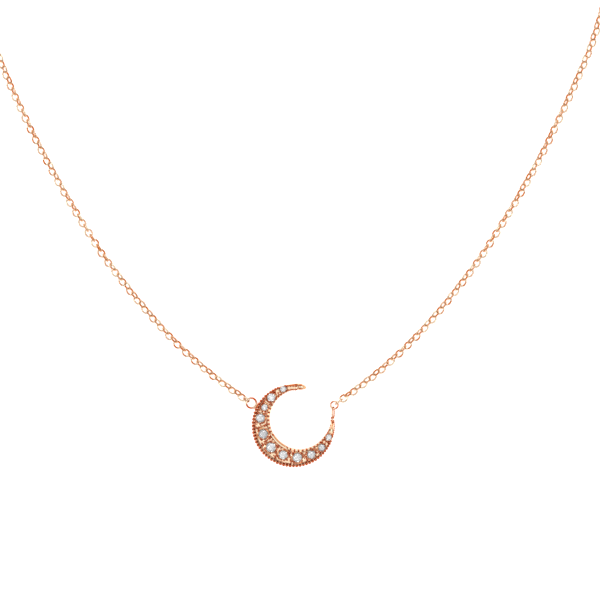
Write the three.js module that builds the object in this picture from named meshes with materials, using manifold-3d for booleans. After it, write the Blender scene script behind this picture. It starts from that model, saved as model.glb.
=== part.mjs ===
// Pendant necklace: a stone-set crescent carried sideways on a fine cable chain, laid flat and unfastened.
// Millimetres, +Z up. The necklace lies on the plane z = 0 with the crescent face up and its opening
// towards +X +Y. The chain leaves both sides of the crescent towards +Y.

import * as THREE from "three";
import { mergeVertices } from "three/addons/utils/BufferGeometryUtils.js";
import Module from "manifold-3d";

const wasm = await Module();
wasm.setup();

// ---------------------------------------------------------------- driving dimensions

// Where the crescent's outer circle is centred, so that the origin is under the middle of the pendant group.
const PENDANT_AT = [0.27, 0];

const CRESCENT = {
  outerRadius: 5.88,
  innerRadius: 4.15,
  innerShift: 1.243, // from the outer circle's centre to the inner circle's
  shiftAngle: 40.6, // the direction of that shift, and of the crescent's opening
  freeHornAngle: 71, // where the free horn ends
  freeHornTaper: 14, // degrees over which it closes to its round point
  freeHornLean: 0.45, // how far the point lies in from the outer circle, as a share of the band's width
  eyeHornAngle: 367, // where the horn that carries the eye ends
  eyeHornTaper: 26, // degrees over which that horn narrows
  hornWidths: [0.1, 0.7], // of the two ends, free and eye, as shares of the band's width there
  thickness: 1.5,
  fieldAngles: [86, 358], // the stone field runs between these
  fieldDepth: 0.1, // the stone field lies this far under the two rims
  outerRim: 0.3,
  innerRim: 0.24,
};

// Round brilliants along the band: [angle about the outer centre, girdle diameter, shift outwards].
const STONES = [
  [105.0, 0.85, 0.05],
  [127.9, 1.13, -0.02],
  [148.1, 0.85, -0.05],
  [167.8, 1.22, 0.1],
  [196.7, 1.27, -0.08],
  [225.5, 1.34, 0],
  [251.9, 1.2, -0.05],
  [277.9, 1.27, 0],
  [302.1, 1.13, 0.06],
  [322.1, 0.96, 0.11],
  [341.1, 0.85, 0.08],
];
const BRILLIANT = { sides: 16, table: 0.56, crown: 0.15, girdle: 0.03, pavilion: 0.43 }; // shares of diameter
const SEAT_GAP = 0.03; // between a stone and its seat
const AZURE = 0.3; // radius of the light hole under a stone, as a share of its diameter
const GIRDLE_HEIGHT = 1.36;

// The chain: drawn as the plain round envelope of its links.
const CHAIN_DIAMETER = 1.1;
const CHAIN_SIDES = 8;
const CHAIN_STEPS = 78;
const LIE = 0.56; // height of the axes of everything that lies flat on the surface

// Centre lines of the two chain sides about the crescent's centre, from the pendant to the clasp.
const LEFT_ROUTE = [
  [-7.06, 3.91], [-11.5, 7.2], [-15.7, 10.9], [-19.6, 15.0], [-23.2, 19.3], [-26.6, 23.8],
  [-29.6, 28.5], [-32.5, 33.4], [-35.2, 38.4], [-37.7, 43.4], [-40.0, 48.5], [-42.0, 53.7],
  [-43.6, 59.5], [-44.8, 66.0], [-45.4, 74.5], [-45.4, 84.5], [-44.7, 94.5], [-42.9, 103.0],
  [-39.6, 110.0], [-34.8, 115.4], [-28.8, 118.6], [-22.2, 119.2], [-16.0, 117.0], [-11.3, 112.2],
  [-8.5, 105.8], [-7.1, 98.5], [-6.6, 91.5], [-6.6, 84.0], [-6.6, 75.8],
];
const RIGHT_ROUTE = [
  [6.43, 3.24], [11.3, 6.9], [15.5, 10.65], [19.4, 14.7], [23.0, 19.05], [26.35, 23.55],
  [29.4, 28.3], [32.3, 33.15], [35.0, 38.1], [37.45, 43.15], [39.8, 48.25], [42.0, 53.5],
  [43.7, 59.3], [44.8, 66.0], [45.3, 74.5], [45.3, 84.5], [44.6, 94.5], [42.8, 103.0],
  [39.5, 110.0], [34.7, 115.4], [28.7, 118.6], [22.1, 119.2], [15.9, 117.0], [11.2, 112.2],
  [8.4, 105.8], [7.0, 98.5], [6.5, 91.5], [6.5, 84.3], [6.5, 76.7],
];

// Rings and links beside the crescent: centre, mean radius and wire radius.
const LEFT_RING = { at: [-5.837, 3.085], radius: 0.7, wire: 0.13 };
const RING_SEAT_GAP = 0.05; // of the filed seat that the left ring is soldered into
const LEFT_LINK = { reach: 0.85, heading: 146, halfLength: 0.42, halfWidth: 0.33, wire: 0.11, tilt: -45 };
const HORN_EYE = { at: [5.68, 1.735], halfLength: 0.78, halfWidth: 0.28, wire: 0.1, tilt: 60 };
const RIGHT_RING = { at: [5.84, 2.8], radius: 0.52, wire: 0.115 };

// The ends of the chain. Distances run on from the chain's last point, in its heading.
const HOOK_GAP = 0.03; // between two wires that hook into each other
const JUMP_RING = { start: 0.4, radius: 1.0, wire: 0.17 };
const CLASP_EYE = { radius: 0.42, wire: 0.12 };
const END_LINK = { start: 0.3, halfLength: 0.65, halfWidth: 0.42, wire: 0.12 };
const END_RING = { radius: 1.5, wire: 0.2 };
const CLASP = {
  radius: 2.05, // of the middle of the tube's ring
  tube: 0.45,
  bore: 0.28,
  mouth: 27.5, // half the angle of the open mouth, which faces away from the eye
  boreEnd: 190,
  catchDepth: 12, // of the socket that takes the bolt's tip
  slotStart: 53,
  slotEnd: 126,
  slotWidth: 0.28,
  overrun: 2, // degrees that the cuts run past the lips of the mouth
};
const BOLT = { wire: 0.23, tip: -33.5, tail: 102.5, lever: 60.5, post: 0.1, knob: 0.24, rise: 0.42 };
const SPRING = { coil: 0.18, wire: 0.05, turns: 9, start: 106, end: 187, sides: 5, stepsPerTurn: 10 };

const ROSE_GOLD = { color: 0xd8a07f, roughness: 0.22, metalness: 1 };
const SPRING_STEEL = { color: 0xb9bcc0, roughness: 0.35, metalness: 1 };
const DIAMOND = { color: 0xe6ecf4, roughness: 0.03, metalness: 0 };

// ---------------------------------------------------------------- helpers

const { degToRad: radians, lerp } = THREE.MathUtils;

function toSolid(geometry) {
  const plain = geometry.clone();
  plain.deleteAttribute("normal");
  plain.deleteAttribute("uv");
  const merged = mergeVertices(plain, 1e-5);
  const corners = merged.index.array;
  const kept = [];
  for (let i = 0; i < corners.length; i += 3) {
    const [a, b, c] = corners.slice(i, i + 3);
    if (a !== b && b !== c && c !== a) kept.push(a, b, c);
  }
  return new wasm.Manifold(new wasm.Mesh({
    numProp: 3,
    vertProperties: new Float32Array(merged.attributes.position.array),
    triVerts: new Uint32Array(kept),
  }));
}

function toGeometry(solid) {
  const mesh = solid.getMesh();
  const geometry = new THREE.BufferGeometry();
  geometry.setAttribute("position", new THREE.BufferAttribute(mesh.vertProperties, 3));
  geometry.setIndex(new THREE.BufferAttribute(mesh.triVerts, 1));
  geometry.computeVertexNormals();
  return geometry;
}

function piece(name, geometry, finish, parent) {
  const mesh = new THREE.Mesh(geometry, new THREE.MeshStandardMaterial(finish));
  mesh.name = name;
  parent.add(mesh);
  return mesh;
}

// A point at a distance and an angle from a centre in the plane z = 0.
function polar(radius, angle, [x, y] = [0, 0]) {
  return [x + radius * Math.cos(radians(angle)), y + radius * Math.sin(radians(angle))];
}

// A round section for a wire, for sweeping along a path.
function wireSection(radius, sides) {
  const corners = [];
  for (let i = 0; i < sides; i += 1) {
    const turn = (2 * Math.PI * i) / sides;
    corners.push(new THREE.Vector2(radius * Math.cos(turn), radius * Math.sin(turn)));
  }
  return new THREE.Shape(corners);
}

function sweptWire(path, radius, sides, steps) {
  const section = wireSection(radius, sides);
  return new THREE.ExtrudeGeometry(section, { extrudePath: path, steps, bevelEnabled: false });
}

// An arc about the z axis, between two angles in degrees.
class ArcPath extends THREE.Curve {
  constructor(radius, from, to) {
    super();
    this.radius = radius;
    this.from = from;
    this.to = to;
  }

  getPoint(t, target = new THREE.Vector3()) {
    const [x, y] = polar(this.radius, this.from + (this.to - this.from) * t);
    return target.set(x, y, 0);
  }
}

// A helix wound round an arc about the z axis.
class CoiledArcPath extends THREE.Curve {
  getPoint(t, target = new THREE.Vector3()) {
    const turn = 2 * Math.PI * SPRING.turns * t;
    const out = CLASP.radius + SPRING.coil * Math.cos(turn);
    const [x, y] = polar(out, SPRING.start + (SPRING.end - SPRING.start) * t);
    return target.set(x, y, SPRING.coil * Math.sin(turn));
  }
}

// A closed oval, long in y.
class OvalPath extends THREE.Curve {
  constructor(halfWidth, halfLength) {
    super();
    this.halfWidth = halfWidth;
    this.halfLength = halfLength;
  }

  getPoint(t, target = new THREE.Vector3()) {
    const turn = 2 * Math.PI * t;
    return target.set(this.halfWidth * Math.cos(turn), this.halfLength * Math.sin(turn), 0);
  }
}

function ovalLink(halfWidth, halfLength, wire) {
  return new THREE.TubeGeometry(new OvalPath(halfWidth, halfLength), 20, wire, 8, true);
}

function roundRing({ radius, wire }, around = 20) {
  return new THREE.TorusGeometry(radius, wire, 8, around);
}

// ---------------------------------------------------------------- crescent

// Distance from the outer circle's centre to the inner circle, in a direction.
function innerEdge(angle) {
  const off = radians(angle - CRESCENT.shiftAngle);
  const across = CRESCENT.innerShift * Math.sin(off);
  return CRESCENT.innerShift * Math.cos(off) + Math.sqrt(CRESCENT.innerRadius ** 2 - across ** 2);
}

// Inner and outer edge of the band in a direction. The free horn closes in a round point between both edges,
// and the other horn narrows to its eye along the outer edge.
function bandEdges(angle) {
  const width = CRESCENT.outerRadius - innerEdge(angle);
  const fromFree = Math.min((angle - CRESCENT.freeHornAngle) / CRESCENT.freeHornTaper, 1);
  const fromEye = Math.min((CRESCENT.eyeHornAngle - angle) / CRESCENT.eyeHornTaper, 1);
  const roundPoint = Math.sqrt(1 - (1 - fromFree) ** 2);
  const outer = CRESCENT.outerRadius - CRESCENT.freeHornLean * width * (1 - roundPoint);
  const [freeEnd, eyeEnd] = CRESCENT.hornWidths;
  const wide = width * lerp(freeEnd, 1, roundPoint) * lerp(eyeEnd, 1, fromEye);
  return [outer - wide, outer];
}

function bandMiddle(angle) {
  const [inner, outer] = bandEdges(angle);
  return (inner + outer) / 2;
}

// The band's outline between two angles, with its edges drawn in by a rim on each side.
function bandShape([from, to], steps, innerRim = 0, outerRim = 0) {
  const outside = [];
  const inside = [];
  for (let i = 0; i <= steps; i += 1) {
    const angle = from + ((to - from) * i) / steps;
    const [inner, outer] = bandEdges(angle);
    outside.push(new THREE.Vector2(...polar(outer - outerRim, angle)));
    inside.unshift(new THREE.Vector2(...polar(inner + innerRim, angle)));
  }
  return new THREE.Shape([...outside, ...inside]);
}

// A stone or its seat, turned about its own axis, with its girdle at z = 0.
function brilliant(diameter) {
  const radius = diameter / 2;
  const half = (BRILLIANT.girdle * diameter) / 2;
  return new THREE.LatheGeometry([
    new THREE.Vector2(0, -half - BRILLIANT.pavilion * diameter),
    new THREE.Vector2(radius, -half),
    new THREE.Vector2(radius, half),
    new THREE.Vector2(BRILLIANT.table * radius, half + BRILLIANT.crown * diameter),
    new THREE.Vector2(0, half + BRILLIANT.crown * diameter),
  ], BRILLIANT.sides).rotateX(Math.PI / 2);
}

function stoneSeat(diameter) {
  const radius = diameter / 2;
  const azure = AZURE * diameter;
  const slope = (radius - azure) * (2 * BRILLIANT.pavilion);
  return new THREE.LatheGeometry([
    new THREE.Vector2(0, -CRESCENT.thickness),
    new THREE.Vector2(azure, -CRESCENT.thickness),
    new THREE.Vector2(azure, -slope - 2 * SEAT_GAP),
    new THREE.Vector2(radius + SEAT_GAP, -SEAT_GAP),
    new THREE.Vector2(radius + SEAT_GAP, CRESCENT.thickness),
    new THREE.Vector2(0, CRESCENT.thickness),
  ], BRILLIANT.sides).rotateX(Math.PI / 2);
}

function stonePlace([angle, , shift]) {
  const [x, y] = polar(bandMiddle(angle) + shift, angle);
  return [x, y, GIRDLE_HEIGHT];
}

function crescentBody() {
  const plate = new THREE.ExtrudeGeometry(
    bandShape([CRESCENT.freeHornAngle, CRESCENT.eyeHornAngle], 84),
    { depth: CRESCENT.thickness, bevelEnabled: false },
  );
  const field = new THREE.ExtrudeGeometry(
    bandShape(CRESCENT.fieldAngles, 70, CRESCENT.innerRim, CRESCENT.outerRim),
    { depth: CRESCENT.thickness, bevelEnabled: false },
  ).translate(0, 0, CRESCENT.thickness - CRESCENT.fieldDepth);
  let body = toSolid(plate).subtract(toSolid(field));
  for (const stone of STONES) {
    body = body.subtract(toSolid(stoneSeat(stone[1]).translate(...stonePlace(stone))));
  }
  const filed = { radius: LEFT_RING.radius, wire: LEFT_RING.wire + RING_SEAT_GAP };
  return toGeometry(body.subtract(toSolid(roundRing(filed).translate(...LEFT_RING.at, LIE))));
}

function addPendant(parent) {
  piece("crescent", crescentBody(), ROSE_GOLD, parent);
  STONES.forEach((stone, i) => {
    const name = `stone_${String(i + 1).padStart(2, "0")}`;
    piece(name, brilliant(stone[1]), DIAMOND, parent).position.set(...stonePlace(stone));
  });
  piece("left_ring", roundRing(LEFT_RING), ROSE_GOLD, parent).position.set(...LEFT_RING.at, LIE);
  const eye = ovalLink(HORN_EYE.halfWidth, HORN_EYE.halfLength, HORN_EYE.wire);
  const hornEye = piece("horn_eye", eye, ROSE_GOLD, parent);
  hornEye.position.set(...HORN_EYE.at, LIE);
  hornEye.rotation.y = radians(-HORN_EYE.tilt);
}

// ---------------------------------------------------------------- links beside the crescent

function addSideLinks(parent) {
  const link = ovalLink(LEFT_LINK.halfWidth, LEFT_LINK.halfLength, LEFT_LINK.wire);
  const leftLink = piece("left_end_link", link.rotateY(radians(-LEFT_LINK.tilt)), ROSE_GOLD, parent);
  leftLink.position.set(...polar(LEFT_LINK.reach, LEFT_LINK.heading, LEFT_RING.at), LIE);
  leftLink.rotation.z = radians(LEFT_LINK.heading - 90);
  piece("right_ring", roundRing(RIGHT_RING), ROSE_GOLD, parent).position.set(...RIGHT_RING.at, LIE);
}

// ---------------------------------------------------------------- chain

function chainSide(route) {
  const path = new THREE.CatmullRomCurve3(route.map(([x, y]) => new THREE.Vector3(x, y, LIE)));
  return sweptWire(path, CHAIN_DIAMETER / 2, CHAIN_SIDES, CHAIN_STEPS);
}

function addChains(parent) {
  piece("left_chain", chainSide(LEFT_ROUTE), ROSE_GOLD, parent);
  piece("right_chain", chainSide(RIGHT_ROUTE), ROSE_GOLD, parent);
}

// ---------------------------------------------------------------- clasp and end ring

// A group whose +X runs on from the chain's last point, in the chain's heading.
function chainEnd(route, parent) {
  const [before, last] = route.slice(-2);
  const group = new THREE.Group();
  group.position.set(...last, LIE);
  group.rotation.z = Math.atan2(last[1] - before[1], last[0] - before[0]);
  parent.add(group);
  return group;
}

// Where the centre of a ring comes, when its near wire hooks inside the far wire of the piece before it.
function hookedAt(farWire, wireBefore, ring) {
  return farWire - wireBefore - ring.wire - HOOK_GAP + ring.radius;
}

function claspBody() {
  const arc = (wire, from, to, sides, steps) => (
    toSolid(sweptWire(new ArcPath(CLASP.radius, from, to), wire, sides, steps))
  );
  const shell = arc(CLASP.tube, CLASP.mouth, 360 - CLASP.mouth, 12, 36);
  const bore = arc(CLASP.bore, CLASP.mouth - CLASP.overrun, CLASP.boreEnd, 10, 24);
  const lip = 360 - CLASP.mouth;
  const socket = arc(CLASP.bore, lip - CLASP.catchDepth, lip + CLASP.overrun, 10, 4);
  const slot = new THREE.Shape();
  const outside = CLASP.radius + 2 * CLASP.tube;
  slot.absarc(0, 0, outside, radians(CLASP.slotStart), radians(CLASP.slotEnd), false);
  slot.absarc(0, 0, CLASP.radius, radians(CLASP.slotEnd), radians(CLASP.slotStart), true);
  const through = { depth: CLASP.slotWidth, bevelEnabled: false, curveSegments: 12 };
  const cut = new THREE.ExtrudeGeometry(slot, through);
  const slotSolid = toSolid(cut.translate(0, 0, -CLASP.slotWidth / 2));
  return toGeometry(shell.subtract(bore).subtract(socket).subtract(slotSolid));
}

// The sliding wire with the lever that sticks out through the slot.
function claspBolt() {
  const wire = toSolid(sweptWire(new ArcPath(CLASP.radius, BOLT.tip, BOLT.tail), BOLT.wire, 8, 24));
  const length = CLASP.tube + BOLT.rise;
  const post = new THREE.CylinderGeometry(BOLT.post, BOLT.post, length, 8).rotateZ(Math.PI / 2);
  post.translate(CLASP.radius + length / 2, 0, 0).rotateZ(radians(BOLT.lever));
  const knob = new THREE.SphereGeometry(BOLT.knob, 10, 8).translate(CLASP.radius + length, 0, 0);
  return toGeometry(wire.add(toSolid(post)).add(toSolid(knob.rotateZ(radians(BOLT.lever)))));
}

function claspSpring() {
  return sweptWire(new CoiledArcPath(), SPRING.wire, SPRING.sides, SPRING.turns * SPRING.stepsPerTurn);
}

// A flat jump ring, the eye that stands on edge in it, and the clasp that the eye is soldered to.
function addClasp(parent) {
  const jumpRing = piece("clasp_jump_ring", roundRing(JUMP_RING), ROSE_GOLD, parent);
  jumpRing.position.x = JUMP_RING.start + JUMP_RING.radius;
  const eyeAt = hookedAt(JUMP_RING.start + 2 * JUMP_RING.radius, JUMP_RING.wire, CLASP_EYE);
  const eye = roundRing(CLASP_EYE).rotateX(Math.PI / 2);
  piece("clasp_eye", eye, ROSE_GOLD, parent).position.x = eyeAt;
  const clasp = new THREE.Group();
  clasp.position.x = eyeAt + CLASP_EYE.radius + CLASP_EYE.wire + HOOK_GAP + CLASP.radius + CLASP.tube;
  parent.add(clasp);
  piece("clasp_body", claspBody(), ROSE_GOLD, clasp);
  piece("clasp_bolt", claspBolt(), ROSE_GOLD, clasp);
  piece("clasp_spring", claspSpring(), SPRING_STEEL, clasp);
}

// A link that stands on edge, and the flat ring that the clasp hooks.
function addEndRing(parent) {
  const link = ovalLink(END_LINK.halfWidth, END_LINK.halfLength, END_LINK.wire);
  const endLink = piece("end_link", link.rotateZ(Math.PI / 2).rotateX(Math.PI / 2), ROSE_GOLD, parent);
  endLink.position.x = END_LINK.start + END_LINK.halfLength;
  const ringAt = hookedAt(END_LINK.start + 2 * END_LINK.halfLength, END_LINK.wire, END_RING);
  piece("end_ring", roundRing(END_RING, 28), ROSE_GOLD, parent).position.x = ringAt;
}

// ---------------------------------------------------------------- the necklace

const necklace = new THREE.Group();
necklace.position.set(...PENDANT_AT, 0);
addPendant(necklace);
addSideLinks(necklace);
addChains(necklace);
addClasp(chainEnd(LEFT_ROUTE, necklace));
addEndRing(chainEnd(RIGHT_ROUTE, necklace));

export default necklace;
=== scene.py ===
"""Pendant necklace: how it looks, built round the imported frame.

Points are in millimetres in the frame's own axes, +Z up, until a mesh is made of them.
"""

import math
import random

import bmesh
import bpy
import numpy as np
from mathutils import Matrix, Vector


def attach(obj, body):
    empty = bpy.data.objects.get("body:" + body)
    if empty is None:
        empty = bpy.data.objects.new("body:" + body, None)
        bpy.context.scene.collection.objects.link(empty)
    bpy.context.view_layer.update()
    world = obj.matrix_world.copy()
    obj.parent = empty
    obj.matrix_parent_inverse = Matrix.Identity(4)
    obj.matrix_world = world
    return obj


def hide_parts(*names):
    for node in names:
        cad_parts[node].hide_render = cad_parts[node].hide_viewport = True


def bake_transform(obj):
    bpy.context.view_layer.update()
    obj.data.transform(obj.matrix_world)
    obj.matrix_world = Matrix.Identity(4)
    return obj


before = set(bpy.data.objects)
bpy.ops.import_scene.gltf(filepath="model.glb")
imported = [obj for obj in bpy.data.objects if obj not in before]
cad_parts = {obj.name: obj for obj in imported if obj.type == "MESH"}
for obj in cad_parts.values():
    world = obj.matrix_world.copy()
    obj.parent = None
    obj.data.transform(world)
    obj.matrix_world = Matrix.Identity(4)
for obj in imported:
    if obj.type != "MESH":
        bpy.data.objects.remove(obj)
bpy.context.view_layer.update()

MM = 0.001
SHIFT = np.array([0.27, 0.0])  # the crescent's outer circle is centred here, in mm
LIE = 0.56  # height of the axes of what lies flat on the surface, in mm

# ---- camera

VIEW_CENTRE = (1.278, 17.59)
VIEW_WIDTH = 84.5  # of the surface that the necklace lies on
CAMERA_HEIGHT = 700.0
SENSOR = 36.0


def add_camera():
    """Straight above the necklace, as the photograph is taken."""
    data = bpy.data.cameras.new("camera")
    data.sensor_width = SENSOR
    data.lens = SENSOR * CAMERA_HEIGHT / VIEW_WIDTH
    data.clip_start = 0.02
    data.clip_end = 5.0
    camera = bpy.data.objects.new("camera", data)
    bpy.context.scene.collection.objects.link(camera)
    camera.location = (VIEW_CENTRE[0] * MM, VIEW_CENTRE[1] * MM, CAMERA_HEIGHT * MM)
    bpy.context.scene.camera = camera


add_camera()

# ---- mesh helpers


def make_object(name, verts, faces, material, smooth=True):
    """A mesh object from points in mm."""
    mesh = bpy.data.meshes.new(name)
    mesh.from_pydata([tuple(v) for v in np.asarray(verts, float) * MM], [], faces)
    mesh.validate()
    obj = bpy.data.objects.new(name, mesh)
    bpy.context.scene.collection.objects.link(obj)
    mesh.polygons.foreach_set("use_smooth", [smooth] * len(mesh.polygons))
    mesh.materials.append(material)
    return obj


class Parts:
    """Collects several bodies of one mesh."""

    def __init__(self):
        self.verts = []
        self.faces = []
        self.count = 0

    def add(self, verts, faces):
        self.verts.append(np.asarray(verts, float))
        self.faces.extend([tuple(i + self.count for i in f) for f in faces])
        self.count += len(verts)

    def object(self, name, material):
        return make_object(name, np.vstack(self.verts), self.faces, material)


def grid_faces(rows, columns, wrap_rows=False, wrap_columns=False):
    """The faces between points in rows and columns."""
    faces = []
    for i in range(rows if wrap_rows else rows - 1):
        for j in range(columns if wrap_columns else columns - 1):
            a, b = i, (i + 1) % rows
            c, d = j, (j + 1) % columns
            faces.append((a * columns + c, b * columns + c, b * columns + d, a * columns + d))
    return faces


def end_caps(rows, columns, reverse=False):
    """The two end faces of a tube whose rows of points run round it."""
    first = list(range(columns))
    last = [(rows - 1) * columns + k for k in range(columns)]
    if reverse:
        return [tuple(reversed(first)), tuple(last)]
    return [tuple(first), tuple(reversed(last))]


def unit(v):
    """v, or each row of v, at length 1."""
    v = np.asarray(v, float)
    return v / np.maximum(np.linalg.norm(v, axis=-1, keepdims=True), 1e-12)


def wire_loop(points, normal, radius, sides=10):
    """A closed wire along a flat closed line of points.

    radius is a number, or one number for each point."""
    points = np.asarray(points, float)
    tangent = unit(np.roll(points, -1, 0) - np.roll(points, 1, 0))
    up = np.broadcast_to(unit(normal), points.shape)
    out = unit(np.cross(tangent, up))
    r = np.broadcast_to(radius, (len(points),))[:, None, None]
    turn = np.linspace(0, 2 * np.pi, sides, endpoint=False)[None, :, None]
    verts = points[:, None] + r * (np.cos(turn) * out[:, None] + np.sin(turn) * up[:, None])
    return verts.reshape(-1, 3), grid_faces(len(points), sides, True, True)


def wire_open(points, radius, sides=12, up=(0, 0, 1)):
    """An open wire with round ends, along a line that is nowhere parallel to up."""
    points = np.asarray(points, float)
    tangent = unit(np.gradient(points, axis=0))
    side = unit(np.cross(tangent, np.broadcast_to(up, points.shape)))
    over = np.cross(side, tangent)
    r = np.array(np.broadcast_to(radius, (len(points),)), float)
    rows, radii = [], []
    # Each round end runs from its pole, a quarter turn off, to just before the wire's own row.
    for t in np.linspace(np.pi / 2, 0.2, 5):
        rows.append((points[0] - tangent[0] * r[0] * np.sin(t), side[0], over[0]))
        radii.append(max(r[0] * np.cos(t), 1e-5))
    for k in range(len(points)):
        rows.append((points[k], side[k], over[k]))
        radii.append(r[k])
    for t in np.linspace(0.2, np.pi / 2, 5):
        rows.append((points[-1] + tangent[-1] * r[-1] * np.sin(t), side[-1], over[-1]))
        radii.append(max(r[-1] * np.cos(t), 1e-5))
    turn = np.linspace(0, 2 * np.pi, sides, endpoint=False)
    verts = [
        p + q * (math.cos(a) * s + math.sin(a) * o)
        for (p, s, o), q in zip(rows, radii)
        for a in turn
    ]
    return np.array(verts), grid_faces(len(rows), sides, False, True) + end_caps(len(rows), sides)


def ball(centre, radius, flat=1.0, rings=8, around=12):
    """A round bead, made flatter along z by flat."""
    verts = [(0, 0, 1)]
    for i in range(1, rings):
        t = math.pi * i / rings
        for j in range(around):
            a = 2 * math.pi * j / around
            verts.append((math.sin(t) * math.cos(a), math.sin(t) * math.sin(a), math.cos(t)))
    verts.append((0, 0, -1))
    faces = [(0, 1 + j, 1 + (j + 1) % around) for j in range(around)]
    for i in range(rings - 2):
        for j in range(around):
            a, b = 1 + i * around, 1 + (i + 1) * around
            faces.append((a + j, b + j, b + (j + 1) % around, a + (j + 1) % around))
    end = len(verts) - 1
    first = 1 + (rings - 2) * around
    faces.extend((end, first + (j + 1) % around, first + j) for j in range(around))
    return np.asarray(centre) + np.array(verts) * [radius, radius, radius * flat], faces


def polar(radius, angle, centre=(0.0, 0.0)):
    """The point at a distance from centre, at an angle in degrees."""
    a = math.radians(angle)
    return np.array([centre[0] + radius * math.cos(a), centre[1] + radius * math.sin(a)])


def face_out(obj):
    """Turns all faces outwards."""
    bm = bmesh.new()
    bm.from_mesh(obj.data)
    bmesh.ops.recalc_face_normals(bm, faces=bm.faces)
    bm.to_mesh(obj.data)
    bm.free()


def soften(obj, angle):
    """Shades the mesh smooth, but for the edges sharper than angle in degrees."""
    mesh = obj.data
    mesh.polygons.foreach_set("use_smooth", [True] * len(mesh.polygons))
    mesh.set_sharp_from_angle(angle=math.radians(angle))


def mark(obj, attribute, domain, values):
    """Gives the mesh one number for each of its points or faces."""
    made = obj.data.attributes.new(attribute, "FLOAT", domain)
    made.data.foreach_set("value", np.asarray(values, np.float32))


def deepen(obj, share):
    """Marks fine round work for painted shade: deep red, as where its close small faces light each
    other.
    """
    mark(obj, PAINTED_RED_SHADE, "POINT", np.full(len(obj.data.vertices), share))
    return obj


# ---- materials

# The colour of the painted shade that stands in for light bounced between gold and gold.
DEEP_RED = (0.56, 0.085, 0.002)
PAINTED_RED_SHADE = "painted_red_shade"  # a point's share of painted shade, deep red, beyond what its place gives it
PAINTED_FACET_REFLECTION = "painted_facet_reflection"  # how bright a stone's facet is painted: painted reflection
FULL_RANGE = (0.0, 1.0)


class Shading:
    """A material with one principled shader, and the nodes that feed it."""

    def __init__(self, name, values):
        self.material = bpy.data.materials.new(name)
        self.material.use_nodes = True
        self.material.node_tree.nodes.clear()
        self.shader = self.add("BsdfPrincipled", values)
        self.link(self.shader, "BSDF", self.add("OutputMaterial"), "Surface")
        self.place = self.add("TexCoord")

    def add(self, kind, values=None, **settings):
        """A new node; values go on its sockets, settings on the node."""
        node = self.material.node_tree.nodes.new("ShaderNode" + kind)
        for key, value in settings.items():
            setattr(node, key, value)
        for socket, value in (values or {}).items():
            node.inputs[socket].default_value = value
        return node

    def link(self, source, output, target, socket):
        """Joins source's output to target's socket."""
        self.material.node_tree.links.new(source.outputs[output], target.inputs[socket])

    def noise(self, scale, detail, source=None):
        """Noise over the object's own place, in grains per metre, or over source's vector."""
        node = self.add("TexNoise", {"Scale": scale, "Detail": detail})
        if source is None:
            self.link(self.place, "Object", node, "Vector")
        else:
            self.link(source, "Vector", node, "Vector")
        return node

    def bump(self, height, strength, distance):
        """Relief that follows the noise height."""
        node = self.add("Bump", {"Strength": strength, "Distance": distance})
        self.link(height, "Fac", node, "Height")
        return node

    def remap(self, source, output, span, target, **settings):
        """source's output, with the span of its values laid on the target's."""
        values = {
            "From Min": span[0], "From Max": span[1], "To Min": target[0], "To Max": target[1],
        }
        node = self.add("MapRange", values, **settings)
        self.link(source, output, node, "Value")
        return node

    def blend(self, factor, output, low, high):
        """From the colour low to the colour high by factor's output; low may be a node."""
        node = self.add("Mix", {"B": (*high, 1)}, data_type="RGBA")
        self.link(factor, output, node, "Factor")
        if isinstance(low, tuple):
            node.inputs["A"].default_value = (*low, 1)
        else:
            self.link(low, "Result", node, "A")
        return node


def rose_gold(
    name, low, high, deep, close, wavy=1.0, marked_shade=0.0, scratch=1.0, rough=0.13, deep_red=DEEP_RED,
):
    """Polished rose gold: colour drift, fine wear lines, softer patches, and painted shade: deep
    red in the crevices, on the steep sides and on marked points, painted where two bounces of light
    between gold and gold would give it."""
    gold = Shading(name, {"Metallic": 1.0, "Specular Tint": (1.0, 0.42, 0.12, 1)})
    colour = gold.blend(gold.noise(420.0, 3.0), "Fac", low, high)

    # Painted shade: deep red where ambient occlusion finds the metal closed in, where its sides are
    # steep, and where points are marked for it.
    crevice = gold.add("AmbientOcclusion", {"Distance": 0.00022}, samples=6)
    closed = gold.remap(crevice, "AO", (0.25, 0.75), (close, 0.0))
    facing = gold.add("SeparateXYZ")
    gold.link(gold.place, "Normal", facing, "Vector")
    level = gold.add("Math", operation="ABSOLUTE")
    gold.link(facing, "Z", level, 0)
    steep = gold.remap(level, "Value", (0.62, 0.91), (deep, 0.0))
    red = gold.add("Math", operation="MAXIMUM")
    gold.link(closed, "Result", red, 0)
    gold.link(steep, "Result", red, 1)
    marked = gold.add("Attribute", attribute_name=PAINTED_RED_SHADE)
    redder = gold.add("Math", {1: marked_shade}, operation="MULTIPLY_ADD")
    gold.link(marked, "Fac", redder, 0)
    gold.link(red, "Value", redder, 2)
    sharper = gold.remap(
        redder, "Value", (0.06, 0.82), FULL_RANGE, interpolation_type="SMOOTHSTEP"
    )
    # The colour drift with the painted shade blended over it.
    drift_and_painted_red = gold.blend(sharper, "Result", colour, deep_red)
    gold.link(drift_and_painted_red, "Result", gold.shader, "Base Color")

    spread = gold.remap(gold.noise(900.0, 5.0), "Fac", FULL_RANGE, (rough * 0.6, rough * 1.8))
    gold.link(spread, "Result", gold.shader, "Roughness")

    stretch = gold.add(
        "Mapping", {"Scale": (9000.0, 1600.0, 5000.0), "Rotation": (0.4, 0.3, 0.6)}
    )
    gold.link(gold.place, "Object", stretch, "Vector")
    wear = gold.bump(gold.noise(1.0, 4.0, stretch), 0.10 * scratch, 0.00001)
    dents = gold.bump(gold.noise(4200.0, 1.5), 0.55 * wavy, 0.000014)
    gold.link(wear, "Normal", dents, "Normal")
    gold.link(dents, "Normal", gold.shader, "Normal")
    return gold.material


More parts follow.
